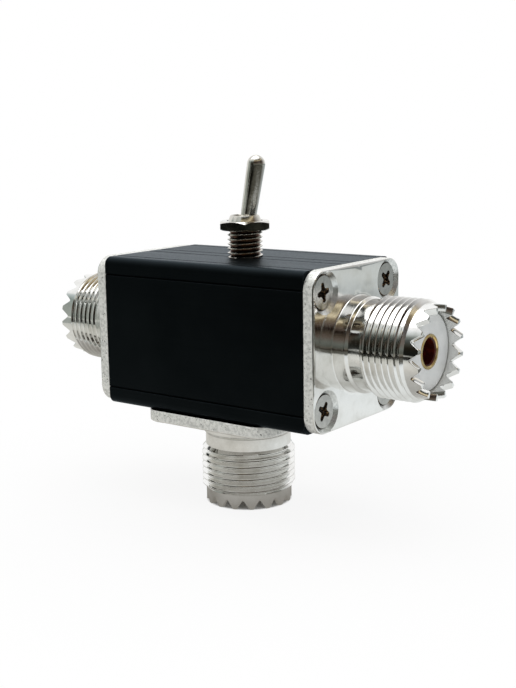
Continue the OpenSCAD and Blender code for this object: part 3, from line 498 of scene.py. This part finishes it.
# The same plate in the countersinks, which the tool left a little rough: pale, with a soft sheen and
# chatter marks 0.5 mm apart.
drilled, tree, shader, spot = finish_of("nickel plate in a drilled countersink")
chatter = add(tree, "ShaderNodeTexNoise", {"Vector": spot, "Scale": 2200.0, "Detail": 3.0})
relief = add(tree, "ShaderNodeBump", {"Height": chatter.outputs["Fac"], "Strength": 0.3, "Distance": 0.00005})
tone = add(tree, "ShaderNodeValToRGB", {"Fac": chatter.outputs["Fac"]}, stops=[(0.35, "#d6d9d8"), (0.65, "#eef0ef")])
feed(shader, {
    "Base Color": tone.outputs["Color"],
    "Metallic": 1.0, "Roughness": 0.27, "Normal": relief.outputs[0]})

# Where each socket sits: how its own frame turns into the object's, the middle of its wall, and how far
# its crown is turned.
SOCKETS = {"left": (((0, 0, -1), (0, 1, 0), (1, 0, 0)), (-HOUSING_HALF_LEN, 0, SOCKET_AXIS_Z), math.radians(-7)),
           "right": (((0, 0, 1), (0, 1, 0), (-1, 0, 0)), (HOUSING_HALF_LEN, 0, SOCKET_AXIS_Z), math.radians(-10)),
           "bottom": (((1, 0, 0), (0, -1, 0), (0, 0, -1)), (0, 0, UNDERSIDE_Z), math.radians(5))}
for side, (turn, seat, crown_turn) in SOCKETS.items():
    shell = skin(side + "_threaded_shell", socket_sheets(crown_turn), [nickel, cast, drilled], turn, seat)
    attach(shell, "switch_housing")
    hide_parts(side + "_shell")

# INSULATORS. A turned plug of white fluoroplastic in each barrel, its front rim broken with a tool.
# It is pressed in from the front against a step in the bore, and its tail reaches out of the spigot.
PLUG_R, PLUG_TAIL_R, PLUG_END, PLUG_STEP = 6.18, 4.58, -3.6, 1.92
TUBE_HOLE_R, CUP_HOLE_R = 2.67, 1.82

# White fluoroplastic, turned: dense, waxy white, a little cooler than the paper, with very faint clouds
# 2.5 mm across and a tool grain of 0.4 mm.
plastic, tree, shader, spot = finish_of("white fluoroplastic")
cloud = add(tree, "ShaderNodeTexNoise", {"Vector": spot, "Scale": 400.0, "Detail": 3.0})
grain = add(tree, "ShaderNodeTexNoise", {"Vector": spot, "Scale": 2500.0, "Detail": 2.0})
relief = add(tree, "ShaderNodeBump", {"Height": grain.outputs["Fac"], "Strength": 0.1, "Distance": 0.00002})
tone = add(tree, "ShaderNodeValToRGB", {"Fac": cloud.outputs["Fac"]}, stops=[(0.3, "#d8dbda"), (0.7, "#e3e5e4")])
feed(shader, {
    "Base Color": tone.outputs["Color"],
    "Roughness": 0.3, "IOR": 1.38, "Normal": relief.outputs[0]})

for side, (turn, seat, crown_turn) in SOCKETS.items():
    line = [(CUP_HOLE_R, PLUG_END), (PLUG_TAIL_R, PLUG_END), (PLUG_TAIL_R, PLUG_STEP), (PLUG_R, PLUG_STEP),
            (PLUG_R, PLUG_FACE - 0.35), (PLUG_R - 0.05, PLUG_FACE - 0.2), (PLUG_R - 0.16, PLUG_FACE - 0.06),
            (PLUG_R - 0.34, PLUG_FACE), (TUBE_HOLE_R + 0.08, PLUG_FACE), (TUBE_HOLE_R, PLUG_FACE - 0.08),
            (TUBE_HOLE_R, PLUG_STEP), (CUP_HOLE_R, PLUG_STEP), (CUP_HOLE_R, PLUG_END)]
    plug = skin(side + "_insulator_plug", [(turned(line, 128), 0)], [plastic], turn, seat)
    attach(plug, "switch_housing")
    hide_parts(side + "_insulator")

# CONTACTS. A gilt brass tube on the axis of each insulator, with a bevelled mouth for the plug's pin and a solder cup
# behind. Pressed in; the gold is bright at the mouth and turns dark red-brown down the bore. It has a material for
# the pair along the X axis and one for the contact that points down.
for name, across, nodes in (("gilt brass, level", (0, 1, 1), ("left_contact", "right_contact")),
                            ("gilt brass, upright", (1, 1, 0), ("bottom_contact",))):
    gilt, tree, shader, spot = finish_of(name)
    axis = (0, 0, across[2] * SOCKET_AXIS_Z / 1000)
    off = add(tree, "ShaderNodeVectorMath", {0: spot, 1: axis}, operation="SUBTRACT")
    off = add(tree, "ShaderNodeVectorMath", {0: off.outputs[0], 1: across}, operation="MULTIPLY")
    reach = add(tree, "ShaderNodeVectorMath", {0: off.outputs[0]}, operation="LENGTH")
    wear = add(tree, "ShaderNodeTexNoise", {"Vector": spot, "Scale": 900.0, "Detail": 3.0})
    bore = add(tree, "ShaderNodeMapRange", {"Value": reach.outputs["Value"], "From Min": 0.00226,
                                            "From Max": 0.00216})
    tone = add(tree, "ShaderNodeValToRGB", {"Fac": wear.outputs["Fac"]}, stops=[
        (0.35, "#e2bd72"), (0.6, "#f4dfab")]).outputs["Color"]
    stain = add(tree, "ShaderNodeValToRGB", {"Fac": wear.outputs["Fac"]}, stops=[
        (0.45, "#3c0d07"), (0.75, "#6a2010")]).outputs["Color"]
    tone = add(tree, "ShaderNodeMix", {0: bore.outputs["Result"], 6: tone, 7: stain}, data_type="RGBA")
    rough = add(tree, "ShaderNodeMapRange", {"Value": bore.outputs["Result"], "To Min": 0.16, "To Max": 0.35})
    relief = add(tree, "ShaderNodeBump", {"Height": wear.outputs["Fac"], "Strength": 0.2, "Distance": 0.00005})
    metal = add(tree, "ShaderNodeMapRange", {"Value": bore.outputs["Result"], "To Min": 1.0, "To Max": 0.2})
    feed(shader, {"Base Color": tone.outputs[2], "Metallic": metal.outputs["Result"],
                  "Roughness": rough.outputs["Result"], "Normal": relief.outputs[0]})
    for node in nodes:
        dress(node, gilt)

# SCREWS. Four countersunk M3 screws to a flange, nickel plated steel with a pressed cross recess.
# They run into the corners of the housing, and were driven by hand to four different angles.
HEAD_R, HEAD_TOP, HEAD_TOP_R, HEAD_CONE_H, SHANK_R = 2.8, 1.45, 2.57, 1.35, 1.45
RECESS = [(0.54, 0.54), (0.66, 0.47), (0.92, 0.42), (1.22, 0.39), (1.40, 0.31), (1.49, 0.14)]
RECESS_TIP = 1.51


def screw_sheets(length, angle):
    """A screw as grids, from the end of its shank up round the head and down into its recess. Finish 1, painted shade
    with painted warm glints, is for the rim of the head and for the recess.

    The recess is a cross, given by the points of half an arm; they are scaled in as it gets deeper."""
    half = np.array(RECESS)
    arm = np.concatenate([half, [(RECESS_TIP, 0.0)], half[::-1] * (1, -1)])[::-1][1:]
    turn_by = [np.array([[c, s], [-s, c]]) for c, s in ((1, 0), (0, 1), (-1, 0), (0, -1))]
    cross = np.concatenate([arm @ m for m in turn_by])
    cross = np.concatenate([cross, cross[:1]])
    circle = cross / np.linalg.norm(cross, axis=1)[:, None]
    low = HEAD_TOP - length
    body = [(0.0, low), (SHANK_R - 0.3, low), (SHANK_R, low + 0.3), (SHANK_R, HEAD_TOP - HEAD_CONE_H),
            (HEAD_R - 0.16, HEAD_TOP - 0.16), (HEAD_R - 0.13, HEAD_TOP - 0.09), (HEAD_TOP_R, HEAD_TOP)]
    rows = [np.column_stack([circle * r, np.full(len(circle), z)]) for r, z in body]
    for share in (0.5, 0.85, 1.0):
        rows.append(np.column_stack([circle * HEAD_TOP_R * (1 - share) + cross * 1.04 * share,
                                     np.full(len(circle), HEAD_TOP)]))
    for scale, drop in ((0.99, 0.04), (0.95, 0.18), (0.80, 0.50), (0.55, 0.72), (0.0, 0.88)):
        rows.append(np.column_stack([cross * scale, np.full(len(circle), HEAD_TOP - drop)]))
    c, s = math.cos(angle), math.sin(angle)
    grid = np.array(rows) @ np.array([[c, s, 0], [-s, c, 0], [0, 0, 1]]) + (SCREW_AT, SCREW_AT, 0)
    return [(grid[:5], 0), (grid[4:7], 1), (grid[6:10], 0), (grid[9:], 1)]


# Nickel plated steel, lightly tumbled: greyer and duller than the shells, mottled at about 1 mm.
steel, tree, shader, spot = finish_of("nickel plated steel screws")
mottle = add(tree, "ShaderNodeTexNoise", {"Vector": spot, "Scale": 900.0, "Detail": 4.0})
rough = add(tree, "ShaderNodeMapRange", {"Value": mottle.outputs["Fac"], "From Min": 0.3, "From Max": 0.7,
                                         "To Min": 0.14, "To Max": 0.28})
relief = add(tree, "ShaderNodeBump", {"Height": mottle.outputs["Fac"], "Strength": 0.25, "Distance": 0.00008})
tone = add(tree, "ShaderNodeValToRGB", {"Fac": mottle.outputs["Fac"]}, stops=[(0.3, "#a3a3a0"), (0.6, "#bfbfbb")])
feed(shader, {
    "Base Color": tone.outputs["Color"],
    "Metallic": 1.0, "Roughness": rough.outputs["Result"], "Normal": relief.outputs[0]})

# Painted shade in the recess and round the rim of the head, with old oil and dust: near black, with painted warm
# glints of 0.4 mm.
grime_and_painted_shade, tree, shader, spot = finish_of("oil and dust, painted shade and glints on plated steel")
mottle = add(tree, "ShaderNodeTexNoise", {"Vector": spot, "Scale": 2600.0, "Detail": 3.0})
relief = add(tree, "ShaderNodeBump", {"Height": mottle.outputs["Fac"], "Strength": 0.4, "Distance": 0.00006})
tone = add(tree, "ShaderNodeValToRGB", {"Fac": mottle.outputs["Fac"]}, stops=[
    (0.45, "#1d1a17"), (0.62, "#5e4a35"), (0.7, "#c9a877")])
feed(shader, {
    "Base Color": tone.outputs["Color"],
    "Metallic": 0.8, "Roughness": 0.3, "Normal": relief.outputs[0]})

for side, (turn, seat, crown_turn) in SOCKETS.items():
    length = 5 if side == "bottom" else 8
    sheets = []
    for i in range(4):
        sheets += [(quarter_turns(grid)[i], pick) for grid, pick in screw_sheets(length, math.radians(50 * i))]
    screws = skin(side + "_flange_screws", sheets, [steel, grime_and_painted_shade], turn, seat)
    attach(screws, "switch_housing")
    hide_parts(side + "_screws")

# TOGGLE BUSHING AND NUT. An M6 threaded brass tube that stands up through the top of the housing, with
# the hexagon nut left near its top. The bore narrows to a seat for the lever's ball.
BALL_Z, LEVER_TILT = 44.2, math.radians(11.5)
TUBE_R, TUBE_ROOT_R, TUBE_PITCH, TUBE_TOP_R = 2.9, 2.45, 0.75, 2.35
TUBE_LOW, TUBE_CONE, TUBE_TOP = -5.7, 2.7, 4.0
SEAT_R, MOUTH_R, MEET_R, MEET_Z, SKIRT_Z, SKIRT_R = 1.95, 2.189, 1.600, 1.11, -3.576, 2.382
curve = np.radians(np.linspace(34.7, 0, 10))
bore_line = [(MOUTH_R + 0.05, TUBE_TOP), (MOUTH_R, TUBE_TOP - 0.05), (MEET_R, MEET_Z)]
bore_line += [(SEAT_R * math.cos(a), SEAT_R * math.sin(a)) for a in curve[1:]]
bore_line += [(SEAT_R, SKIRT_Z), (SKIRT_R, TUBE_LOW), (TUBE_ROOT_R, TUBE_LOW)]
tube_sheets = [
    (helix(TUBE_R, TUBE_ROOT_R, TUBE_PITCH, TUBE_LOW, TUBE_CONE, TUBE_ROOT_R, TUBE_R, 96), 0),
    (turned([(TUBE_R, TUBE_CONE), (TUBE_TOP_R + 0.03, TUBE_TOP - 0.07), (TUBE_TOP_R - 0.03, TUBE_TOP)]
            + bore_line, 96), 1)]

# Nickel plate on small turned brass parts: warmer and duller than the sockets, with a grain of 0.3 mm and clouds of 2
# mm. The bushing has its own, whose thread roots are painted dark brown: painted shade, with old oil.
toggle_finishes = []
for name, root_dark_share in (("nickel plate on turned brass", 0.0), ("nickel plate, thread roots with painted shade and old oil", 0.9)):
    finish, tree, shader, spot = finish_of(name)
    grain = add(tree, "ShaderNodeTexNoise", {"Vector": spot, "Scale": 3500.0, "Detail": 3.0, "Roughness": 0.6})
    cloud = add(tree, "ShaderNodeTexNoise", {"Vector": spot, "Scale": 500.0, "Detail": 3.0})
    rough = add(tree, "ShaderNodeMapRange", {"Value": cloud.outputs["Fac"], "From Min": 0.35, "From Max": 0.7,
                                             "To Min": 0.09, "To Max": 0.20})
    relief = add(tree, "ShaderNodeBump", {"Height": grain.outputs["Fac"], "Strength": 0.28, "Distance": 0.00003})
    flat = add(tree, "ShaderNodeVectorMath", {0: spot, 1: (1, 1, 0)}, operation="MULTIPLY")
    radius = add(tree, "ShaderNodeVectorMath", {0: flat.outputs[0]}, operation="LENGTH")
    # Painted shade, with old oil, in the thread's roots: dark brown below a radius of 2.74 mm, fully so below 2.6 mm.
    oil = add(tree, "ShaderNodeMapRange", {"Value": radius.outputs["Value"], "From Min": 0.00274,
                                           "From Max": 0.00260, "To Max": root_dark_share})
    plate = add(tree, "ShaderNodeValToRGB", {"Fac": cloud.outputs["Fac"]}, stops=[
        (0.3, "#c3c0b8"), (0.7, "#dcdad3")]).outputs["Color"]
    brown = add(tree, "ShaderNodeValToRGB", {"Fac": grain.outputs["Fac"]}, stops=[
        (0.4, "#1c110b"), (0.62, "#7a4a2e")]).outputs["Color"]
    tone = add(tree, "ShaderNodeMix", {0: oil.outputs["Result"], 6: plate, 7: brown}, data_type="RGBA")
    feed(shader, {"Base Color": tone.outputs[2], "Metallic": 1.0, "Roughness": rough.outputs["Result"],
                  "Normal": relief.outputs[0]})
    toggle_finishes.append(finish)
warm_nickel, root_shaded_nickel = toggle_finishes
tube = skin("threaded_bushing", tube_sheets, [root_shaded_nickel, warm_nickel], seat=(0, 0, BALL_Z))
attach(tube, "switch_housing")
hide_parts("bushing")

# Nickel plate on the nut: its flats, which stand upright, are painted dark, a painted reflection of the dark
# surround, and its chamfers, which slope, keep the plate's bright tone.
nut_with_shaded_flats, tree, shader, spot = finish_of("nickel plated nut, flats darkened")
cloud = add(tree, "ShaderNodeTexNoise", {"Vector": spot, "Scale": 700.0, "Detail": 3.0})
facing = add(tree, "ShaderNodeTexCoord").outputs["Normal"]
slope = add(tree, "ShaderNodeVectorMath", {0: facing, 1: (0, 0, 1)}, operation="DOT_PRODUCT")
slope = add(tree, "ShaderNodeMath", {0: slope.outputs["Value"]}, operation="ABSOLUTE")
# Upright faces take the painted dark reflection; sloping faces keep the plate's tone.
bright = add(tree, "ShaderNodeMapRange", {"Value": slope.outputs[0], "From Min": 0.05, "From Max": 0.25})
relief = add(tree, "ShaderNodeBump", {"Height": cloud.outputs["Fac"], "Strength": 0.2, "Distance": 0.00005})
flats = add(tree, "ShaderNodeValToRGB", {"Fac": cloud.outputs["Fac"]}, stops=[
    (0.35, "#3d3f39"), (0.65, "#5f5e56")]).outputs["Color"]
plate = add(tree, "ShaderNodeValToRGB", {"Fac": cloud.outputs["Fac"]}, stops=[
    (0.3, "#cfccc5"), (0.7, "#e4e2dc")]).outputs["Color"]
tone = add(tree, "ShaderNodeMix", {0: bright.outputs["Result"], 6: flats, 7: plate}, data_type="RGBA")
feed(shader, {"Base Color": tone.outputs[2], "Metallic": 1.0, "Roughness": 0.15, "Normal": relief.outputs[0]})
dress("bushing_nut", nut_with_shaded_flats)

# LEVER. A turned bat with a round tip, a ball that rocks in the bushing's seat and a bored shank that
# takes the plunger. It is photographed thrown over towards the right socket.
BALL_R, BALL_TOP_R, BAT_NECK_R, BAT_TIP_R, BAT_LEN = 1.9, 1.232, 1.2, 1.48, 14
SHANK_END, BAT_SHANK_R, BAT_BORE_R, BORE_TOP = -7.4, 1.1, 0.75, -2.5
tip_z = BAT_LEN - BAT_TIP_R
lean = math.atan2(BAT_TIP_R - BAT_NECK_R, tip_z)
low_ball, high_ball = -math.acos(BAT_SHANK_R / BALL_R), math.acos(BALL_TOP_R / BALL_R)
bat = [(0.0, BORE_TOP), (BAT_BORE_R, BORE_TOP), (BAT_BORE_R, SHANK_END), (BAT_SHANK_R - 0.08, SHANK_END),
       (BAT_SHANK_R, SHANK_END + 0.08)]
bat += [(BALL_R * math.cos(a), BALL_R * math.sin(a)) for a in np.linspace(low_ball, high_ball, 24)]
bat += [(BAT_NECK_R + (BAT_TIP_R - BAT_NECK_R) * z / tip_z, z) for z in (4.0, 8.0, 11.5)]
bat += [(BAT_TIP_R * math.cos(a), tip_z + BAT_TIP_R * math.sin(a)) for a in np.linspace(-lean, math.pi / 2, 20)]
bat[-1] = (0.0, BAT_LEN)
c, s = math.cos(LEVER_TILT), math.sin(LEVER_TILT)
bat_piece = skin("bat_lever", [(turned(bat, 96), 0)], [warm_nickel],
                 [[c, 0, s], [0, 1, 0], [-s, 0, c]], (0, 0, BALL_Z))
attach(bat_piece, "toggle_lever")
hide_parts("lever")

# INSIDE. The works of the toggle and its wiring, shut in the housing: a zinc plated steel frame and
# lock washer, a moulded case, a nylon plunger on a spring, and silvered brass contacts with tinned wires.
HIDDEN = (
    ("zinc plated steel", ("lock_washer", "switch_frame"), 1.0, 0.34, ("#9c9f9d", "#bcbfbb"), 900),
    ("blue phenolic", ("switch_case",), 0.0, 0.45, ("#1f2d5c", "#2d3c74"), 1200),
    ("white nylon", ("plunger",), 0.0, 0.4, ("#e4e2da", "#f1f0ea"), 900),
    ("spring steel wire", ("plunger_spring",), 1.0, 0.3, ("#7c7a76", "#a3a19c"), 2500),
    ("silvered brass", ("rocker", "left_terminal", "common_terminal", "right_terminal"), 1.0, 0.28,
     ("#c9c5b6", "#e2dfd3"), 700),
    ("tinned copper wire", ("left_link_wire", "common_link_wire", "right_link_wire"), 1.0, 0.36,
     ("#a9aaa6", "#cbccc8"), 1500))
for name, nodes, metal, roughness, (low, high), scale in HIDDEN:
    finish, tree, shader, spot = finish_of(name)
    mottle = add(tree, "ShaderNodeTexNoise", {"Vector": spot, "Scale": float(scale), "Detail": 3.0})
    rough = add(tree, "ShaderNodeMapRange", {"Value": mottle.outputs["Fac"], "From Min": 0.3, "From Max": 0.7,
                                             "To Min": roughness - 0.06, "To Max": roughness + 0.08})
    relief = add(tree, "ShaderNodeBump", {"Height": mottle.outputs["Fac"], "Strength": 0.2, "Distance": 0.00005})
    tone = add(tree, "ShaderNodeValToRGB", {"Fac": mottle.outputs["Fac"]}, stops=[(0.35, low), (0.65, high)])
    feed(shader, {"Base Color": tone.outputs["Color"],
                  "Metallic": metal, "Roughness": rough.outputs["Result"], "Normal": relief.outputs[0]})
    for node in nodes:
        dress(node, finish)
